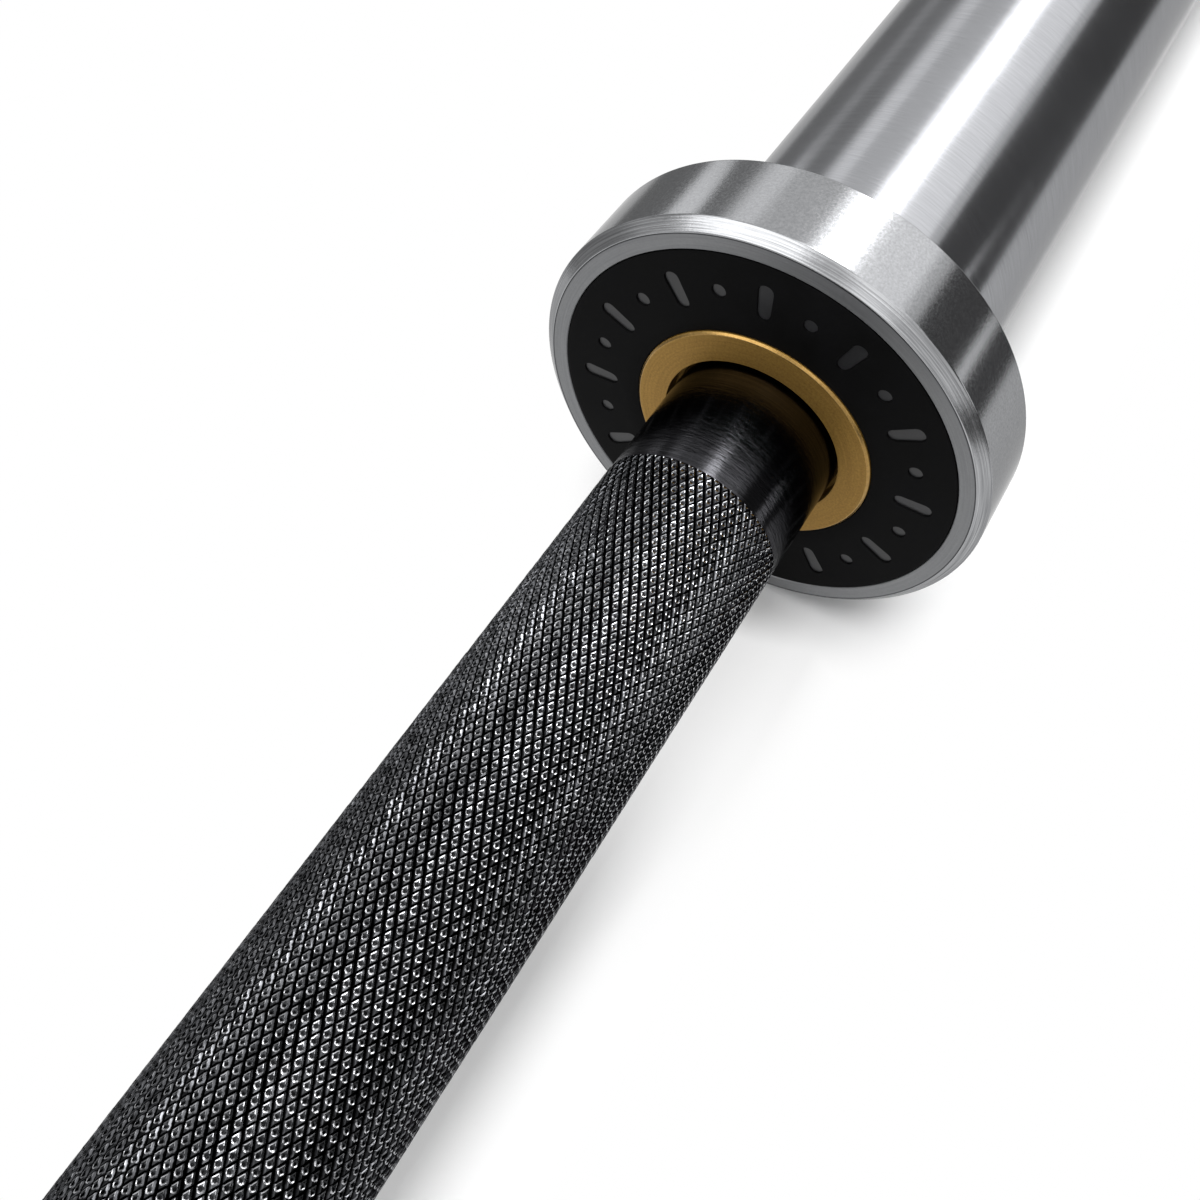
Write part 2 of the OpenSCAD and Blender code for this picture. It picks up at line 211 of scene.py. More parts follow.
def knurled(name, start, end, finishes, seed):
    """A knurled length of bar. Row k of diamonds lies at start + k * step, every second row turned
    by half a diamond. Each diamond has four corners in the groove floor, shared with its
    neighbours, four points of its flat top part of the way to them, and a middle point. With p and
    q the sum and the difference of the shares along and round the bar, the top is where |p| and
    |q| stay below the shares set for the deep and the narrow grooves. The rows at the two ends are
    halves, lower than the rest and closed by a flat end. Tops lie a little uneven, as rolled. The
    local coordinates are the place inside each diamond in mm, along the bar and round it."""
    rows = round((end - start) / ROW_STEP)
    step, pitch = (end - start) / rows, 2 * np.pi / DIAMONDS
    k, j = np.arange(rows + 1)[:, None], np.arange(DIAMONDS)[None, :]
    place = start + k * step + 0 * j
    angle = (j + 0.5 * (k % 2)) * pitch
    relief = np.where((k == 0) | (k == rows), END_RELIEF, 1.0) + 0 * j
    floor_r = SHAFT_R + (GROOVE_R - SHAFT_R) * relief
    top_r = SHAFT_R + (CREST_R - SHAFT_R) * relief
    uneven = np.random.default_rng(seed)
    top_r = top_r - np.abs(uneven.normal(0, TOP_STRAY, top_r.shape))

    # Each diamond's points: the corner between it and the next one round, four points of its top,
    # at shares of the way to its corners, and its middle
    corners = round_axis(place, floor_r, angle + pitch / 2)
    wide, lean = (TOP_DEEP + TOP_NARROW) / 2, (TOP_DEEP - TOP_NARROW) / 2
    top_at = np.array([(wide, lean), (lean, wide), (-wide, -lean), (-lean, -wide)])
    tops = []
    for along, across in top_at:
        point_r = top_r - np.abs(uneven.normal(0, POINT_STRAY, top_r.shape))
        inside = np.clip(place + along * step, start, end)
        tops.append(round_axis(inside, point_r, angle + across * pitch / 2))
    middle = round_axis(place, top_r, angle)
    points = np.concatenate([corners.reshape(-1, 3), np.stack(tops, 2).reshape(-1, 3),
                             middle.reshape(-1, 3), [[start, 0, 0], [end, 0, 0]]])

    cells = (rows + 1) * DIAMONDS
    cell = k * DIAMONDS + j
    north, south = cell, k * DIAMONDS + (j - 1) % DIAMONDS
    turned_j = (j - 1 + k % 2) % DIAMONDS
    east, west = (k + 1) * DIAMONDS + turned_j, (k - 1) * DIAMONDS + turned_j
    top = [cells + cell * 4 + m for m in range(4)]
    mid = cells * 5 + cell
    size = np.array([step, HALF_DIAMOND])
    quads, triangles, quad_spots, triangle_spots = [], [], [], []

    def add(faces, spots, pick, rows_on, where, flip):
        """Adds a face through the picked points of every diamond on those rows, and the corners'
        places in the diamond; flip says in which order the corners run."""
        faces.append(np.stack([p[rows_on] for p in pick], -1).reshape(-1, len(pick))[:, flip])
        spots.append(np.tile((np.array(where) * size)[None, flip], (len(faces[-1]), 1, 1)))

    # Each half of a diamond: two flanks down to the grooves, and two triangles of its top
    for way, side, tip, rows_on in ((1, 0, east, slice(0, rows)),
                                    (-1, 2, west, slice(1, rows + 1))):
        flip = slice(None, None, way)
        peak, peak_at = top[side], top_at[side]
        for pick, where in (
                ((tip, north, top[1], peak), ((way, 0), (0, 1), top_at[1], peak_at)),
                ((south, tip, peak, top[3]), ((0, -1), (way, 0), peak_at, top_at[3]))):
            add(quads, quad_spots, pick, rows_on, where, flip)
        for pick, where in (((mid, peak, top[1]), ((0, 0), peak_at, top_at[1])),
                            ((mid, top[3], peak), ((0, 0), top_at[3], peak_at))):
            add(triangles, triangle_spots, pick, rows_on, where, flip)
    # The flat ends: triangles from the cut row to the point on the axis
    for row, pole, way in ((0, cells * 6, 1), (rows, cells * 6 + 1, -1)):
        edge = [south, top[3], mid, top[1], north]
        for a, b in zip(edge, edge[1:]):
            add(triangles, triangle_spots, (0 * a + pole, a, b), row, (NO_CRATER,) * 3,
                slice(None, None, way))
    piece = shell(name, points, np.concatenate(quads), np.concatenate(triangles), finishes,
                  local=[np.concatenate(quad_spots), np.concatenate(triangle_spots)])
    piece.data.shade_flat()
    return piece


# ---------------------------------------------------------------- finishes

# Patterns are drawn in mm: a scale of 0.12 gives clouds about 1 / 0.12 = 8 mm across. Noise seldom
# leaves the middle of its range, so these two values count as its low and its high end.
NOISE_ENDS = (0.3, 0.7)

# How much a step of 1 mm in radius counts beside 1 mm along the bar, where lathe lines are laid out
LANE_PER_RADIUS = 1.37

# What polished metal reflects where it curves out of sight: a little less than white, because its
# film and its fine scratches take some of it
DIM_LIMB = "#c8c8c8"

# Choices of the Map Range and the Mix node. Sockets go by number: in Map Range 1 and 2 are the
# ends that come in, and 3 and 4 those that go out; in Mix 6 and 7 are the two colours.
SMOOTH = {"interpolation_type": "SMOOTHSTEP"}
COLOURS = {"data_type": "RGBA"}


def linear(code):
    """A colour written as sRGB hex, turned to the linear values that shaders use."""
    parts = np.array([int(code[i:i + 2], 16) for i in (1, 3, 5)]) / 255
    return (*np.where(parts <= 0.04045, parts / 12.92, ((parts + 0.055) / 1.055) ** 2.4), 1.0)


def node(tree, kind, wires=None, ramp=None, **settings):
    """Adds one shader node: settings are its own choices, ramp its colour stops, and wires its
    inputs, each a value, an output of another node, or a node, of which the first output that is
    in use counts."""
    made = tree.nodes.new("ShaderNode" + kind)
    for key, value in settings.items():
        setattr(made, key, value)
    for key, value in (wires or {}).items():
        if isinstance(value, bpy.types.Node):
            value = next(output for output in value.outputs if output.enabled)
        if isinstance(value, bpy.types.NodeSocket):
            tree.links.new(value, made.inputs[key])
        else:
            made.inputs[key].default_value = value
    if ramp:
        stops = made.color_ramp.elements
        while len(stops) < len(ramp):
            stops.new(0.5)
        for stop, (at, colour) in zip(stops, ramp):
            stop.position, stop.color = at, linear(colour)
    return made


def new_finish(name):
    """An empty material and its nodes."""
    finish = bpy.data.materials.new(name)
    finish.use_nodes = True
    finish.node_tree.nodes.clear()
    return finish, finish.node_tree


def in_mm(tree):
    """The place that a pattern is drawn on: object coordinates in mm."""
    raw = node(tree, "TexCoord").outputs["Object"]
    return node(tree, "VectorMath", {0: raw, "Scale": 1 / MM}, operation="SCALE")


def along_bar(tree, mm):
    """The place along the bar, counted from its middle on either half."""
    return node(tree, "Math", {0: node(tree, "SeparateXYZ", {0: mm})}, operation="ABSOLUTE")


def off_axis(tree, mm):
    """The way from the bar's axis to the surface, square to the axis, and its length."""
    cross = node(tree, "VectorMath", {0: mm, 1: (0, 1, 1)}, operation="MULTIPLY")
    return cross, node(tree, "VectorMath", {0: cross}, operation="LENGTH")


def lathe_lanes(tree, mm):
    """Where the turning tool stood: the lane, a value that grows along any turned surface, so that
    lines of it run round the bar, and the heading round the axis."""
    cross, radius = off_axis(tree, mm)
    lane = node(tree, "Math", {0: radius, 1: LANE_PER_RADIUS, 2: along_bar(tree, mm)},
                operation="MULTIPLY_ADD")
    return lane, node(tree, "VectorMath", {0: cross}, operation="NORMALIZE")


def round_lines(tree, lanes, per_mm, turn, detail=4.0, rough=0.65):
    """Fine lines that run round the bar: noise that changes quickly from lane to lane, per_mm times
    in each mm, and slowly with the heading, turn times in each radian."""
    lane, heading = lanes
    quick = node(tree, "Math", {0: lane, 1: per_mm}, operation="MULTIPLY")
    spot = node(tree, "VectorMath", {0: heading, 1: (turn,) * 3,
                                     2: node(tree, "CombineXYZ", {0: quick})},
                operation="MULTIPLY_ADD")
    return node(tree, "TexNoise", {"Vector": spot, "Scale": 1.0, "Detail": detail,
                                   "Roughness": rough})


def surface(tree, colour, rough, relief, ends=NOISE_ENDS, metallic=1.0, limb="#ffffff", gloss=0.5):
    """The surface itself. rough is a pattern, and the roughness at its low and at its high end;
    ends are the pattern's own values there. relief lays patterns one over the other, each with its
    depth in mm and its strength. limb is what a metal reflects where it curves out of sight, and
    gloss how well anything else mirrors. What is the same all over is set on the shader's own
    sockets."""
    pattern, low, high = rough
    rough = node(tree, "MapRange", {0: pattern, 1: ends[0], 2: ends[1], 3: low, 4: high})
    under = {}
    for height, depth_mm, strength in relief:
        wires = {"Height": height, "Distance": depth_mm * MM, "Strength": strength}
        under = {"Normal": node(tree, "Bump", wires | under)}
    shader = node(tree, "BsdfPrincipled", {
        "Base Color": colour, "Roughness": rough, "Metallic": metallic,
        "Specular Tint": linear(limb), "Specular IOR Level": gloss, **under})
    node(tree, "OutputMaterial", {0: shader})


def oxide_neck():
    """Black oxide on polished steel: a dark film, glossy, with polishing lines of about 0.1 mm
    round the bar that spread the lamp's reflection into a soft brushed glow, and scuffs of about
    0.5 mm that break it up."""
    finish, tree = new_finish("black_oxide_polished")
    mm = in_mm(tree)
    lanes = lathe_lanes(tree, mm)
    lines = round_lines(tree, lanes, 7.0, 1.4)
    fine = round_lines(tree, lanes, 16.0, 3.0)
    scuffs = round_lines(tree, lanes, 1.8, 7.0, 3.0, 0.6)
    cloud = node(tree, "TexNoise", {"Vector": mm, "Scale": 0.12, "Detail": 5.0})
    shade = node(tree, "ValToRGB", {0: lines}, ramp=[(0.35, "#2c2c2e"), (0.7, "#48484b")])
    surface(tree, shade, (cloud, 0.12, 0.18),
            [(lines, 0.012, 1.0), (fine, 0.006, 1.0), (scuffs, 0.035, 1.0)], limb=DIM_LIMB)
    return finish


def oxide_knurl():
    """Black oxide over rolled diamonds, each with a round crater sunk in its top. The film is thick
    and black in the grooves and craters. The flank and the crater wall of each diamond that face
    +x, toward the brightest soft box, carry a painted highlight much lighter than the film, and so
    does a strip down one flank of each deep groove: from a distance a black net full of sparks.
    The last rows by the neck are brightest, and hands leave the rest blacker with oil."""
    finish, tree = new_finish("black_oxide_knurl")
    mm = in_mm(tree)
    grain = node(tree, "TexNoise", {"Vector": mm, "Scale": 2.2, "Detail": 4.0})

    # The place in a diamond, with its middle a little astray, and the crater round that middle
    spot = node(tree, "UVMap", uv_map="diamond")
    astray = node(tree, "VectorMath", {0: grain.outputs["Color"], 1: (0.5, 0.5, 0.5)},
                  operation="SUBTRACT")
    spot = node(tree, "VectorMath", {0: astray, 1: (CRATER_STRAY, CRATER_STRAY, 0), 2: spot},
                operation="MULTIPLY_ADD")
    reach = node(tree, "VectorMath", {0: spot}, operation="LENGTH")
    bowl = node(tree, "MapRange", {0: reach, 1: CRATER_FLOOR, 2: CRATER_RIM}, **SMOOTH)

    # How near the deep and the narrow grooves a place lies: 1 is a deep groove's floor, and the
    # narrow ones count 0.2 less
    rise, fall = [node(tree, "VectorMath", {0: spot, 1: (1 / ROW_STEP, way / HALF_DIAMOND, 0)},
                       operation="DOT_PRODUCT") for way in (1, -1)]
    deep, narrow = [node(tree, "Math", {0: way}, operation="ABSOLUTE") for way in (rise, fall)]
    narrow = node(tree, "Math", {0: narrow, 1: 0.2}, operation="SUBTRACT")
    groove = node(tree, "Math", {0: deep, 1: narrow}, operation="MAXIMUM")

    # Plain film, and the same with a painted highlight, on the flanks and in the crater; the
    # painted highlight lies only on the side that faces +x, toward the brightest soft box
    toward = node(tree, "SeparateXYZ", {0: node(tree, "VectorMath", {0: spot},
                                                operation="NORMALIZE")})
    lit_flank_mask, lit_wall_mask = [node(tree, "MapRange", {0: toward, 1: -0.35 * way, 2: 0.5 * way}, **SMOOTH)
                   for way in (1, -1)]
    dull_side, painted_highlight_flank = [node(tree, "ValToRGB", {0: groove}, ramp=[
        (0.36, "#3b3c3e"), (0.45, peak), (0.58, side), (0.72, "#232325"), (0.86, "#040404")])
        for peak, side in (("#454648", "#38393b"), ("#c4c5c8", "#6a6b6e"))]
    dull_wall, painted_highlight_wall = [node(tree, "ValToRGB", {0: bowl}, ramp=[
        (0.0, "#161617"), (0.2, "#2a2b2d"), (0.45, peak), (0.95, peak), (1.0, "#3b3c3e")])
        for peak in ("#3e3f41", "#d0d1d4")]
    sides = node(tree, "Mix", {0: lit_flank_mask, 6: dull_side, 7: painted_highlight_flank}, **COLOURS)
    pit = node(tree, "Mix", {0: lit_wall_mask, 6: dull_wall, 7: painted_highlight_wall}, **COLOURS)

    # A painted highlight in a strip down one flank of each deep groove
    painted_highlight_strip = node(tree, "MapRange", {0: rise, 1: 0.42, 2: 0.52}, **SMOOTH)
    for value, low, high in ((rise, 0.86, 0.72), (narrow, 0.60, 0.40)):
        within = node(tree, "MapRange", {0: value, 1: low, 2: high}, **SMOOTH)
        painted_highlight_strip = node(tree, "Math", {0: painted_highlight_strip, 1: within}, operation="MULTIPLY")
    sides = node(tree, "Mix", {0: painted_highlight_strip, 6: sides, 7: linear("#626366")}, **COLOURS)
    outside = node(tree, "Math", {0: reach, 1: CRATER_RIM}, operation="GREATER_THAN")
    colour = node(tree, "Mix", {0: outside, 6: pit, 7: sides}, **COLOURS)

    # Wear: some diamonds more than their neighbours, and the last rows by the neck most, but none
    # brighter than bare steel
    handled = node(tree, "TexNoise", {"Vector": mm, "Scale": 0.8, "Detail": 2.0})
    wear = node(tree, "MapRange", {0: handled, 1: 0.35, 2: 0.65, 3: 0.5, 4: 1.4})
    last_rows = node(tree, "MapRange", {0: along_bar(tree, mm), 1: 572, 2: 618, 3: 0.75, 4: 1.35},
                     **SMOOTH)
    wear = node(tree, "Math", {0: wear, 1: last_rows}, operation="MULTIPLY")
    colour = node(tree, "VectorMath", {0: colour, "Scale": wear}, operation="SCALE")
    colour = node(tree, "VectorMath", {0: colour, 1: (0.88, 0.88, 0.88)}, operation="MINIMUM")
    surface(tree, colour, (groove, 0.13, 0.30), [(grain, 0.01, 1.0), (bowl, CRATER_DEPTH, 1.0)],
            ends=(0.6, 0.9), limb="#7a7a7a")
    return finish


def chrome_sleeve():
    """Hard chrome over turned steel: bright and smooth, with the lathe's and polisher's fine lines
    round the tube, which soften reflections along it but keep them crisp across it. The lines are
    drawn coarser than the real ones, which are too fine to show."""
    finish, tree = new_finish("hard_chrome_turned")
    mm = in_mm(tree)
    lanes = lathe_lanes(tree, mm)
    lines = round_lines(tree, lanes, 2.2, 1.0)
    fine = round_lines(tree, lanes, 9.0, 4.0)
    haze = node(tree, "TexNoise", {"Vector": mm, "Scale": 0.05, "Detail": 6.0})
    shade = node(tree, "ValToRGB", {0: fine}, ramp=[(0.3, "#96979a"), (0.7, "#a6a7aa")])
    surface(tree, shade, (haze, 0.13, 0.19),
            [(lines, 0.003, 1.0), (fine, 0.0018, 1.0)], limb=DIM_LIMB)
    return finish


def collar_rim():
    """Turned and lightly blasted steel on the collar's rim: satin, with a random mottle of about
    0.4 mm over faint turning lines of 0.2 mm."""
    finish, tree = new_finish("satin_steel_rim")
    mm = in_mm(tree)
    mottle = node(tree, "TexNoise", {"Vector": mm, "Scale": 2.6, "Detail": 6.0, "Roughness": 0.7})
    lines = round_lines(tree, lathe_lanes(tree, mm), 5.0, 9.0)
    shade = node(tree, "ValToRGB", {0: mottle}, ramp=[(0.3, "#8d8e90"), (0.7, "#a5a6a8")])
    surface(tree, shade, (mottle, 0.10, 0.18),
            [(lines, 0.004, 1.0), (mottle, 0.005, 1.0)], limb=DIM_LIMB)
    return finish


def collar_face():
    """Faced steel, bead blasted after turning: a plain mid grey with almost no shine, its dimples
    about 0.3 mm across. On the collar's front the face is darker in a thin line along its outer
    edge, where the bevel begins."""
    finish, tree = new_finish("blasted_steel_face")
    mm = in_mm(tree)
    grit = node(tree, "TexNoise", {"Vector": mm, "Scale": 3.5, "Detail": 4.0, "Roughness": 0.7})
    lines = round_lines(tree, lathe_lanes(tree, mm), 3.0, 2.0)
    shade = node(tree, "ValToRGB", {0: lines}, ramp=[(0.3, "#7a7b7d"), (0.7, "#878889")])
    front = node(tree, "Math", {0: along_bar(tree, mm), 1: FRONT_END}, operation="LESS_THAN")
    edge = node(tree, "MapRange", {0: off_axis(tree, mm)[1], 1: 35.4, 2: 35.6}, **SMOOTH)
    edge = node(tree, "Math", {0: edge, 1: front}, operation="MULTIPLY")
    shade = node(tree, "Mix", {0: edge, 6: shade, 7: linear("#3c3d3f")}, **COLOURS)
    surface(tree, shade, (grit, 0.42, 0.58), [(grit, 0.012, 1.0)])
    return finish


def turned_bevel():
    """Bright steel straight from the turning tool: its strong lines, 0.3 mm apart, run round the
    bevel and break up what it mirrors. Plates left nicks of about 1 mm."""
    finish, tree = new_finish("bright_turned_bevel")
    mm = in_mm(tree)
    lines = round_lines(tree, lathe_lanes(tree, mm), 3.4, 2.5)
    nicks = node(tree, "TexNoise", {"Vector": mm, "Scale": 0.9, "Detail": 8.0, "Roughness": 0.8})
    shade = node(tree, "ValToRGB", {0: lines}, ramp=[(0.3, "#797a7c"), (0.7, "#b8b9bb")])
    surface(tree, shade, (nicks, 0.08, 0.20),
            [(lines, 0.012, 1.0), (nicks, 0.03, 0.6)], limb=DIM_LIMB)
    return finish


def bronze(rim=False):
    """Oiled sintered bronze: brown gold, mottled by its grain of about 0.4 mm and dulled by the oil
    in its pores. The bevel at its rim is freshly turned, so it is lighter and shines."""
    finish, tree = new_finish("turned_bronze_rim" if rim else "oiled_bronze")
    mm = in_mm(tree)
    grain = node(tree, "TexNoise", {"Vector": mm, "Scale": 2.6, "Detail": 6.0, "Roughness": 0.75})
    lines = round_lines(tree, lathe_lanes(tree, mm), 3.0, 1.5)
    mix = node(tree, "Math", {0: lines, 1: 0.4, 2: grain}, operation="MULTIPLY_ADD")
    mix = node(tree, "MapRange", {0: mix, 1: 0.45, 2: 0.95})
    tones = ("#85683a", "#9d7e4a", "#b6955e") if rim else ("#7b5e2a", "#947338", "#ab8744")
    shade = node(tree, "ValToRGB", {0: mix}, ramp=list(zip((0.0, 0.5, 1.0), tones)))
    low, high, metallic = (0.18, 0.28, 1.0) if rim else (0.48, 0.62, 0.8)
    surface(tree, shade, (grain, low, high), [(lines, 0.004, 1.0), (grain, 0.006, 1.0)],
            metallic=metallic)
    return finish


def ring_black(floor=False):
    """Black glass filled nylon, moulded with a matte spark texture of about 0.2 mm; the floors of
    its marks are smoother, so that they catch a little light."""
    finish, tree = new_finish("black_nylon_smooth" if floor else "black_nylon_matte")
    mm = in_mm(tree)
    grain = node(tree, "TexNoise", {"Vector": mm, "Scale": 5.0, "Detail": 3.0, "Roughness": 0.6})
    cloud = node(tree, "TexNoise", {"Vector": mm, "Scale": 0.15, "Detail": 4.0})
    dark, light = ("#161617", "#242426") if floor else ("#060606", "#0c0c0d")
    shade = node(tree, "ValToRGB", {0: cloud}, ramp=[(0.3, dark), (0.7, light)])
    low, high, depth_mm, gloss = (0.3, 0.4, 0.004, 0.5) if floor else (0.6, 0.72, 0.03, 0.05)
    surface(tree, shade, (cloud, low, high), [(grain, depth_mm, 1.0)],
            metallic=0.0, gloss=gloss)
    return finish


def plain_steel(name, dark, light, rough, per_mm=2.0):
    """Turned or ground steel of the small parts in the sleeve's end: fine lines round the axis and
    an even, slightly cloudy shine. per_mm is the number of lines in each mm."""
    finish, tree = new_finish(name)
    mm = in_mm(tree)
    lines = round_lines(tree, lathe_lanes(tree, mm), per_mm, 1.5)
    cloud = node(tree, "TexNoise", {"Vector": mm, "Scale": 0.3, "Detail": 4.0})
    shade = node(tree, "ValToRGB", {0: lines}, ramp=[(0.3, dark), (0.7, light)])
    surface(tree, shade, (cloud, rough, rough + 0.12), [(lines, 0.006, 1.0)])
    return finish


NECK = oxide_neck()
KNURL = oxide_knurl()
CHROME = chrome_sleeve()
RIM = collar_rim()
FLAT = collar_face()
BEVEL = turned_bevel()
BRONZE = bronze()
BRONZE_RIM = bronze(rim=True)
RING = ring_black()
RING_FLOOR = ring_black(floor=True)
# Bare ground steel: pale, with a soft shine
WASHER = plain_steel("ground_washer_steel", "#85888c", "#a0a3a6", 0.28)
# Spring steel under a phosphate coat: dark grey and dull
SPRING = plain_steel("phosphated_spring_steel", "#242526", "#3b3c3e", 0.42)
# Turned steel under black oxide: almost black, with coarse tool lines
CAP = plain_steel("black_oxide_cap", "#161617", "#272729", 0.34, 1.2)


# ---------------------------------------------------------------- shaft

def on_bar(piece, *nodes, slot):
    """Says that a piece belongs to the shaft and which nodes it stands for; slot is not used."""
    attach(piece, "bar")
    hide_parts(*nodes)


def plain_length(name, start, end, side):
    """A smooth length between two knurled ones, with ends square to the bar."""
    rings = max(3, round((end - start) / RING_SPACING) + 1)
    piece = bar_length(name, [(x, SHAFT_R) for x in np.linspace(start, end, rings)], [NECK], side)
    on_bar(piece, "shaft", slot="shaft_black")


def end_length(name, side):
    """The shaft from the collar's neck to its end: neck, shoulder, journal and two ring grooves."""
    shoulder_bevel, end_bevel, lit_flank_mask = 0.3, 1.5, 0.2
    spots = [(x, SHAFT_R) for x in (COLLAR_KNURL[1], 640, FACE, 700, 900, SHOULDER - 1)]
    spots += [(SHOULDER - shoulder_bevel, SHAFT_R), (SHOULDER, SHAFT_R - shoulder_bevel),
              (SHOULDER, JOURNAL_R)]
    for place in RING_GROOVES:
        a, b = place - GROOVE_PLAY, place + RING_THICK + GROOVE_PLAY
        spots += [(a - lit_flank_mask, JOURNAL_R), (a, JOURNAL_R), (a, GROOVE_FLOOR_R),
                  (b, GROOVE_FLOOR_R), (b, JOURNAL_R), (b + lit_flank_mask, JOURNAL_R)]
    spots += [(SHAFT_END - end_bevel, JOURNAL_R), (SHAFT_END, JOURNAL_R - end_bevel)]
    piece = bar_length(name, spots, [NECK], side, AROUND_HIDDEN)
    on_bar(piece, "shaft", slot="shaft_black")


on_bar(knurled("shaft_centre_knurl", -CENTRE_KNURL, CENTRE_KNURL, [KNURL], 3),
       "shaft", slot="shaft_black")
for side_name, side in SIDES.items():
    for label, zone, seed in (("hand_knurl", HAND_KNURL, 11), ("collar_knurl", COLLAR_KNURL, 17)):
        low, high = sorted((zone[0] * side, zone[1] * side))
        on_bar(knurled(f"shaft_{label}_{side_name}", low, high, [KNURL], seed + side),
               "shaft", slot="shaft_black")
    plain_length(f"shaft_smooth_{side_name}", CENTRE_KNURL, HAND_KNURL[0], side)
    plain_length(f"shaft_mark_{side_name}", *HAND_MARK, side)
    end_length(f"shaft_end_{side_name}", side)


# ---------------------------------------------------------------- sleeve, collar and their parts

def on_sleeve(piece, side_name, part):
    """Says that a piece turns with a sleeve, and which part it stands for."""
    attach(piece, f"{side_name}_sleeve_assembly")
    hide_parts(f"{side_name}_{part}")


def build_sleeve(side_name, side):
    """Tube turned from a profile: its nose and shank inside the collar, the outside with a bevel
    that leads plates on, the cap ring's groove, the cap's seat and the two bushings' seats."""
    seat_r, cap_seat_r, groove_r, groove_end = BUSHING_R + FIT, CAP_R + FIT, 20.22, 1097.57
    spots = [(RECESS, seat_r + 0.25), (RECESS, NOSE_R), (STEP, NOSE_R), (STEP, SHANK_R),
             (BACK, SHANK_R), (BACK, SLEEVE_R), (SLEEVE_END - 2, SLEEVE_R),
             (SLEEVE_END, SLEEVE_R - 2), (SLEEVE_END, cap_seat_r + 0.5),
             (SLEEVE_END - 0.5, cap_seat_r), (groove_end, cap_seat_r), (groove_end, groove_r),
             (CAP_FACE, groove_r), (CAP_FACE, cap_seat_r), (CAP_BACK, cap_seat_r),
             (CAP_BACK, seat_r), (OUTER_SEAT, seat_r), (OUTER_SEAT, BORE_R),
             (BUSHING_END, BORE_R), (BUSHING_END, seat_r), (RECESS + 0.25, seat_r)]
    corners = [(place, radius, 0) for place, radius in spots]
    piece = turned(f"sleeve_{side_name}", corners, [CHROME], side, 0.15)
    on_sleeve(piece, side_name, "sleeve")


def build_collar(side_name, side):
    """Wide ring turned from a profile: a recess for the face ring, a flat edge, a bright bevel, a
    satin rim, and a stepped bore for the sleeve."""
    rim, flat, bevel = 0, 1, 2
    nose_r, shank_r, recess_r = NOSE_R + FIT, SHANK_R + FIT, RING_OUTER + 0.1
    corners = [(RECESS, nose_r, flat), (RECESS, recess_r, flat), (FACE + 0.15, recess_r, flat),
               (FACE, recess_r + 0.15, flat), (FACE, COLLAR_R - 1.7, bevel),
               (FACE + 1.5, COLLAR_R, rim), (BACK - 0.3, COLLAR_R, bevel),
               (BACK, COLLAR_R - 0.3, flat), (BACK, shank_r + 0.5, flat),
               (BACK - 0.5, shank_r, flat), (STEP, shank_r, flat), (STEP, nose_r, flat)]
    piece = turned(f"collar_{side_name}", corners, [RIM, FLAT, BEVEL], side, 0.12, AROUND_COLLAR)
    on_sleeve(piece, side_name, "collar")


def build_bushing(side_name, side):
    """Flanged bronze bushing turned from a profile: its flange stands a little proud of the
    collar's face and has a bevelled rim, and its bore is relieved at the mouth."""
    plain, rim = 0, 1
    front, flange_r, bore_r, mouth_r = FACE - 0.4, RING_INNER - 0.1, 14.08, 14.73
    corners = [(front, mouth_r, plain), (front, flange_r - 0.35, rim),
               (front + 0.35, flange_r, plain), (RECESS, flange_r, plain),
               (RECESS, BUSHING_R, plain), (BUSHING_END - 0.5, BUSHING_R, plain),
               (BUSHING_END, BUSHING_R - 0.5, plain), (BUSHING_END, bore_r, plain),
               (front + 3, bore_r, plain), (front + 3, mouth_r, plain)]
    piece = turned(f"inner_bushing_{side_name}", corners, [BRONZE, BRONZE_RIM], side, 0.08)
    on_sleeve(piece, side_name, "inner_bushing")


def build_cap(side_name, side):
    """Round end cap with a shallow dish: a solid disc, so its profile runs from pole to pole."""
    dish = CAP_FACE - 0.8
    spots = [(CAP_BACK, CAP_R - 0.2), (CAP_BACK + 0.2, CAP_R), (CAP_FACE - 0.3, CAP_R),
             (CAP_FACE - 0.1, CAP_R - 0.07), (CAP_FACE, CAP_R - 0.2), (CAP_FACE, CAP_R - 0.6),
             (CAP_FACE, 14.3), (CAP_FACE - 0.05, 14.1), (CAP_FACE - 0.2, 13.95),
             (dish + 0.1, 13.8), (dish, 13.6), (dish, 13.2), (dish, 6)]
    piece = bar_length(f"end_cap_{side_name}", spots, [CAP], side, AROUND_HIDDEN, sharp=50)
    on_sleeve(piece, side_name, "end_cap")


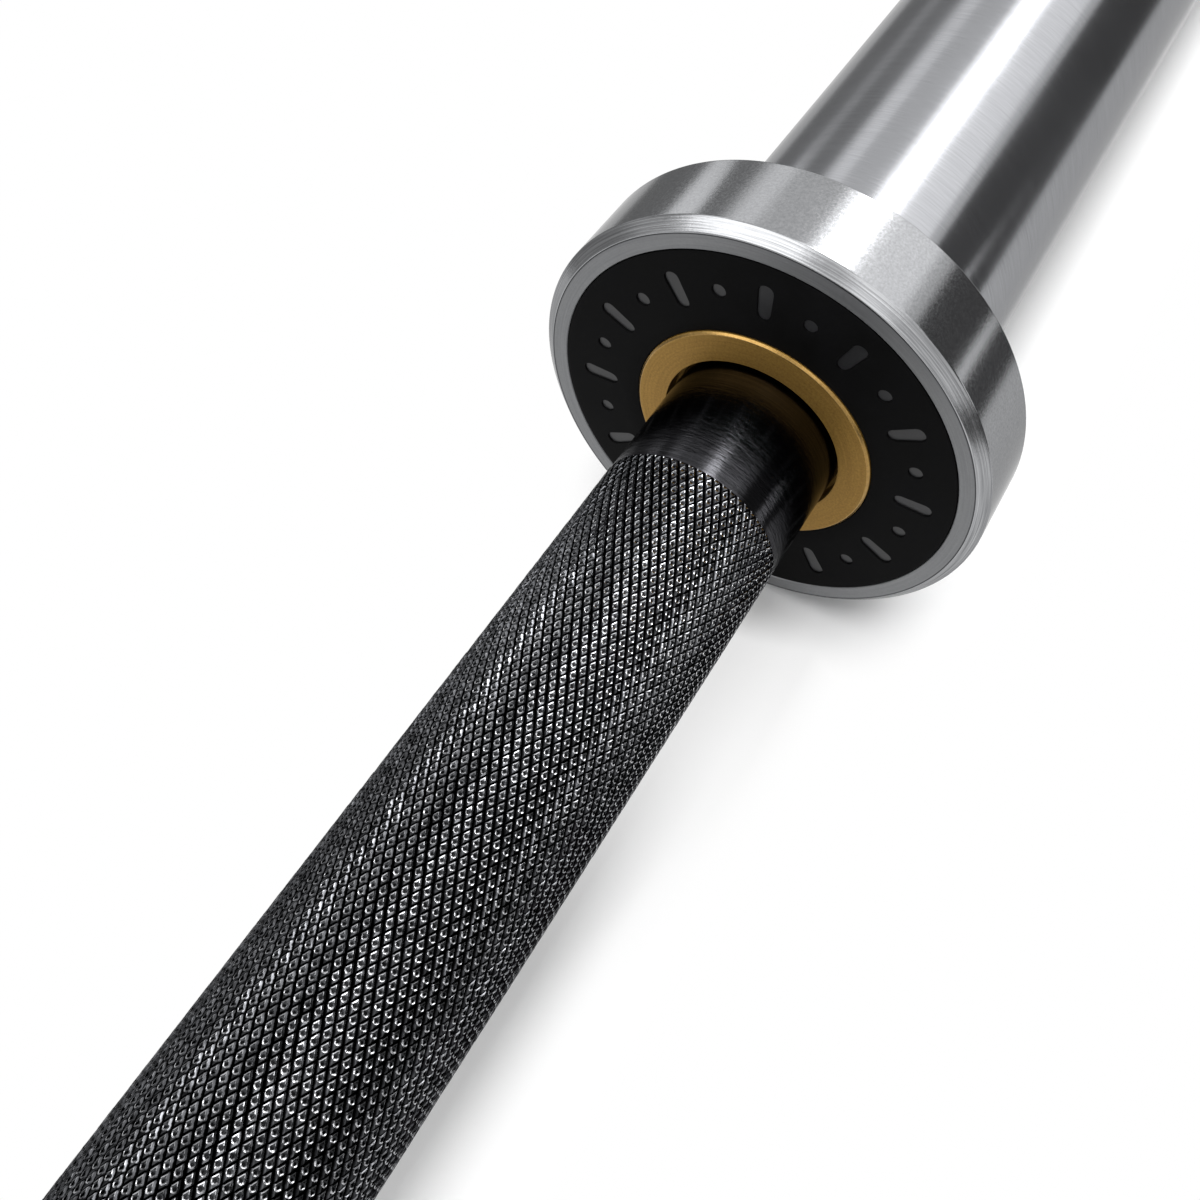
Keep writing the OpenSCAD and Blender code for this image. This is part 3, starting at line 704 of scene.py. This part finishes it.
def build_face_ring(side_name, side):
    """Black ring with evenly spaced sunk marks, long and round in turn. The profile closes on
    itself round the section; where a mark lies, the two radii that bound it bend into half round
    ends, span - w + sqrt(w^2 - s^2) for a place s across a mark of half width w, and the points
    between its walls drop by the mark's depth."""
    # Columns round the axis: nine across each mark, and eleven from there to the next one
    wall = 1 - MARK_WALL / MARK_HALF
    shares = np.array([-1, -wall, -0.7, -0.4, 0, 0.4, 0.7, wall, 1])
    gap = 2 * np.pi / MARKS - 2 * MARK_HALF / MARK_CIRCLE
    between = np.linspace(0, 1, 13)[1:-1] * gap
    turn = np.concatenate([shares * MARK_HALF / MARK_CIRCLE, MARK_HALF / MARK_CIRCLE + between])
    angle = (np.arange(MARKS)[:, None] * 2 * np.pi / MARKS + turn).ravel()
    across = np.tile(np.append(shares, np.ones(len(between))), MARKS) * MARK_HALF
    sunk = np.tile(np.append(np.abs(shares) < 1, np.zeros(len(between))), MARKS)
    span = np.repeat(np.where(np.arange(MARKS) % 2, *MARK_SPANS[::-1]), len(turn))
    edge, foot = [span - MARK_HALF + np.sqrt(np.maximum(half ** 2 - across ** 2, 0))
                  for half in (MARK_HALF, MARK_HALF - MARK_WALL)]
    # Rows round the section, each a depth behind the face and a radius
    lip, ease, past_mark, back = 0.2, 0.06, max(MARK_SPANS) + 0.8, RECESS - FACE
    rings = [(0, RING_INNER + lip), (0, MARK_CIRCLE - past_mark), (0, MARK_CIRCLE - edge)]
    rings += [(MARK_DEPTH * sunk, MARK_CIRCLE + foot * share) for share in (-1, -0.5, 0, 0.5, 1)]
    rings += [(0, MARK_CIRCLE + edge), (0, MARK_CIRCLE + past_mark), (0, RING_OUTER - 0.5),
              (0, RING_OUTER - lip), (ease, RING_OUTER - ease), (lip, RING_OUTER),
              (back, RING_OUTER), (back, RING_INNER), (lip, RING_INNER),
              (ease, RING_INNER + ease)]
    depth, radius = (np.stack([ring[i] + 0 * angle for ring in rings]) for i in (0, 1))
    points = round_axis((FACE + depth) * side, radius, angle).reshape(-1, 3)
    quads = quads_between(*radius.shape, closed=True)
    floor = np.abs(depth.ravel()[quads] - MARK_DEPTH).max(-1) < 0.01
    piece = shell(f"face_ring_{side_name}", points, quads, (), [RING, RING_FLOOR], floor)
    piece.data.set_sharp_from_angle(angle=math.radians(35))
    on_sleeve(piece, side_name, "face_ring")


def refinish(name, finish):
    """Gives a CAD node that stays its own finish."""
    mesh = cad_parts[name].data
    mesh.materials.clear()
    mesh.materials.append(finish)


for side_name, side in SIDES.items():
    build_sleeve(side_name, side)
    build_collar(side_name, side)
    build_bushing(side_name, side)
    build_cap(side_name, side)
    build_face_ring(side_name, side)
    for part, finish in (("outer_bushing", BRONZE), ("inner_washer", WASHER),
                         ("outer_washer", WASHER), ("snap_ring", SPRING),
                         ("lock_ring", SPRING), ("cap_ring", SPRING)):
        refinish(f"{side_name}_{part}", finish)


# ---------------------------------------------------------------- studio

# From here on lengths are in metres. The bar lies on its collars.
FLOOR_Z = -COLLAR_R * MM
ABOVE_FLOOR = FLOOR_Z + 0.002
WHITE = linear("#ffffff")
SKY_ON_MATTE = 0.42              # the share of the white room's light that falls on what is matte


def flat_stage(name, outline, finish, start=-8.0, end=8.0):
    """A stage surface: an outline (y, z) in the plane square to the bar, carried along it from
    start to end, so that its points are (start, y, z) and (end, y, z)."""
    along = np.tile((start, end), len(outline))
    points = np.column_stack([along, np.repeat(np.array(outline), 2, 0)])
    faces = 2 * np.arange(len(outline) - 1)[:, None] + (0, 1, 3, 2)
    mesh = bpy.data.meshes.new(name)
    mesh.from_pydata(points.tolist(), [], faces.tolist())
    mesh.materials.append(finish)
    made = bpy.data.objects.new(name, mesh)
    bpy.context.scene.collection.objects.link(made)
    return made


def seen_share(tree):
    """1 for what the camera sees, straight, in a mirror or through glass, and 0 for what only
    lights something."""
    path = node(tree, "LightPath")
    seen = node(tree, "Math", {0: path.outputs["Is Camera Ray"],
                               1: path.outputs["Is Glossy Ray"]}, operation="ADD")
    return node(tree, "Math", {0: seen, 1: path.outputs["Is Transmission Ray"]},
                operation="ADD", use_clamp=True)


def floor_finish():
    """White paper floor. Close to the bar it is plain paper that takes the shadow; away from it,
    where the lamps fall off, the camera sees it as white."""
    finish, tree = new_finish("paper_floor")
    paper = node(tree, "BsdfDiffuse", {"Color": linear("#f4f4f4")})
    spot = node(tree, "TexCoord").outputs["Object"]
    either = node(tree, "VectorMath", {0: spot}, operation="ABSOLUTE")

    def off_line(low, high, across=1.0):
        """How far the floor's points lie from a stretch of the bar's line, on either half; across
        scales what lies square to the bar."""
        near = node(tree, "VectorMath", {0: either, 1: (low, 0, 0)}, operation="MAXIMUM")
        near = node(tree, "VectorMath", {0: near, 1: (high, 0, 0)}, operation="MINIMUM")
        off = node(tree, "VectorMath", {0: either, 1: near}, operation="SUBTRACT")
        off = node(tree, "VectorMath", {0: off, 1: (1, across, 0)}, operation="MULTIPLY")
        return node(tree, "VectorMath", {0: off}, operation="LENGTH")

    # White as far as each of these has risen: paper under the sleeve and in a narrow band under
    # the shaft, and only a third paper under the shaft's last stretch before the collar
    by_sleeve, by_shaft, by_neck = [
        node(tree, "MapRange", {0: value, 1: low, 2: high, 4: most}, **SMOOTH)
        for value, low, high, most in (
            (off_line(0.675, 1.1, 0.85), 0.022, 0.038, 1.0),
            (off_line(0.0, 0.675), 0.008, 0.026, 1.0),
            (node(tree, "SeparateXYZ", {0: either}), 0.575, 0.625, 0.65))]
    fade = node(tree, "Math", {0: by_shaft, 1: by_neck}, operation="MAXIMUM")
    fade = node(tree, "Math", {0: fade, 1: by_sleeve}, operation="MINIMUM")
    share = node(tree, "Math", {0: seen_share(tree), 1: fade}, operation="MULTIPLY")
    white = node(tree, "Emission", {"Color": WHITE, "Strength": 1.0})
    node(tree, "OutputMaterial", {0: node(tree, "MixShader", {0: share, 1: paper, 2: white})})
    return finish


def card_finish(glow):
    """Card beside the bar, which only the metal mirrors: 1 is as bright as the white room, less
    gives it a darker band and more a bright streak."""
    finish, tree = new_finish("card")
    lit = node(tree, "Emission", {"Color": WHITE, "Strength": glow})
    node(tree, "OutputMaterial", {0: lit})
    return finish


flat_stage("floor", [(-12, FLOOR_Z), (12, FLOOR_Z)], floor_finish())
for label, outline, ends, glow in (
        # The dark band down the right of shaft and sleeve
        ("right", [(-0.2, ABOVE_FLOOR), (-2.6, ABOVE_FLOOR), (-2.6, 2.1)], (-0.6, 8.0), 0.12),
        # Sparks at the shaft's right edge by the neck, and a streak at the rim's right end
        ("right_near", [(-2.58, 0.02), (-2.58, 0.55)], (1.35, 2.25), 3.5),
        ("right_streak", [(-2.59, 0.15), (-2.59, 0.42)], (2.4, 3.65), 1.5),
        # The grey band down the left, lighter in its middle, and a streak at the rim's left end
        ("left_low", [(0.16, ABOVE_FLOOR), (2.6, ABOVE_FLOOR), (2.6, 0.32)], (-0.9, 8.0), 0.38),
        ("left_middle", [(2.6, 0.32), (2.6, 0.85)], (-0.9, 8.0), 0.65),
        ("left_high", [(2.6, 0.85), (2.6, 1.96)], (-0.9, 8.0), 0.40),
        ("left_streak", [(2.59, 0.38), (2.59, 1.15)], (2.4, 3.6), 1.7)):
    card = flat_stage(f"card_{label}", outline, card_finish(glow), *ends)
    card.visible_camera = card.visible_diffuse = card.visible_shadow = False


def soft_box(name, x, y, height, glow):
    """A soft box over the bar, between two places in x and two in y, glowing with the given
    brightness, where 1 is white."""
    lamp = bpy.data.lights.new(name, "AREA")
    lamp.shape = "RECTANGLE"
    lamp.size, lamp.size_y = x[1] - x[0], y[1] - y[0]
    lamp.energy = glow * math.pi * lamp.size * lamp.size_y
    made = bpy.data.objects.new(name, lamp)
    made.location = (sum(x) / 2, sum(y) / 2, height)
    made.visible_camera = False
    bpy.context.scene.collection.objects.link(made)


# Even light along the bar, and inside it a core: the bright streak along the shaft and its neck,
# and the same along the sleeve
soft_box("box_over_bar", (-0.4, 6.0), (-0.57, 0.33), 2.0, 1.3)
soft_box("box_core", (-0.4, 2.0), (-0.40, 0.08), 1.99, 5.5)
soft_box("box_core_far", (2.0, 5.4), (-0.36, 0.08), 1.99, 9.0)
# Weak light down both flanks, and light from behind the camera for the collar's face
soft_box("box_right", (-4.0, 6.0), (-1.85, -0.57), 2.01, 0.75)
soft_box("box_left", (-4.0, 6.0), (1.5, 2.3), 2.02, 0.5)
soft_box("box_behind", (-3.0, -0.5), (0.3, 3.6), 2.03, 1.8)

# White room: metal mirrors it in full, and what is matte gets only a share of its light
world = bpy.data.worlds.new("studio")
bpy.context.scene.world = world
world.use_nodes = True
tree = world.node_tree
tree.nodes.clear()
level = node(tree, "MapRange", {0: seen_share(tree), 3: SKY_ON_MATTE, 4: 1.0})
node(tree, "OutputWorld", {0: node(tree, "Background", {"Color": WHITE, "Strength": level})})

# Camera as the photograph was taken: close above the bar, just inside the collar
CAMERA_AT = (0.5428393, -0.0473079, 0.1369649)
CAMERA_TO = (0.4753822, 0.2754455, -0.8355486)
camera = bpy.data.objects.new("camera", bpy.data.cameras.new("camera"))
camera.data.sensor_width = 36
camera.data.lens = 35.431
camera.data.shift_x = -0.04205
camera.data.shift_y = 0.00391
camera.data.clip_start, camera.data.clip_end = 0.01, 100
camera.location = CAMERA_AT
camera.rotation_mode = "QUATERNION"
camera.rotation_quaternion = Vector(CAMERA_TO).to_track_quat("-Z", "Y")
bpy.context.scene.collection.objects.link(camera)
bpy.context.scene.camera = camera
bpy.context.scene.view_settings.view_transform = "Standard"
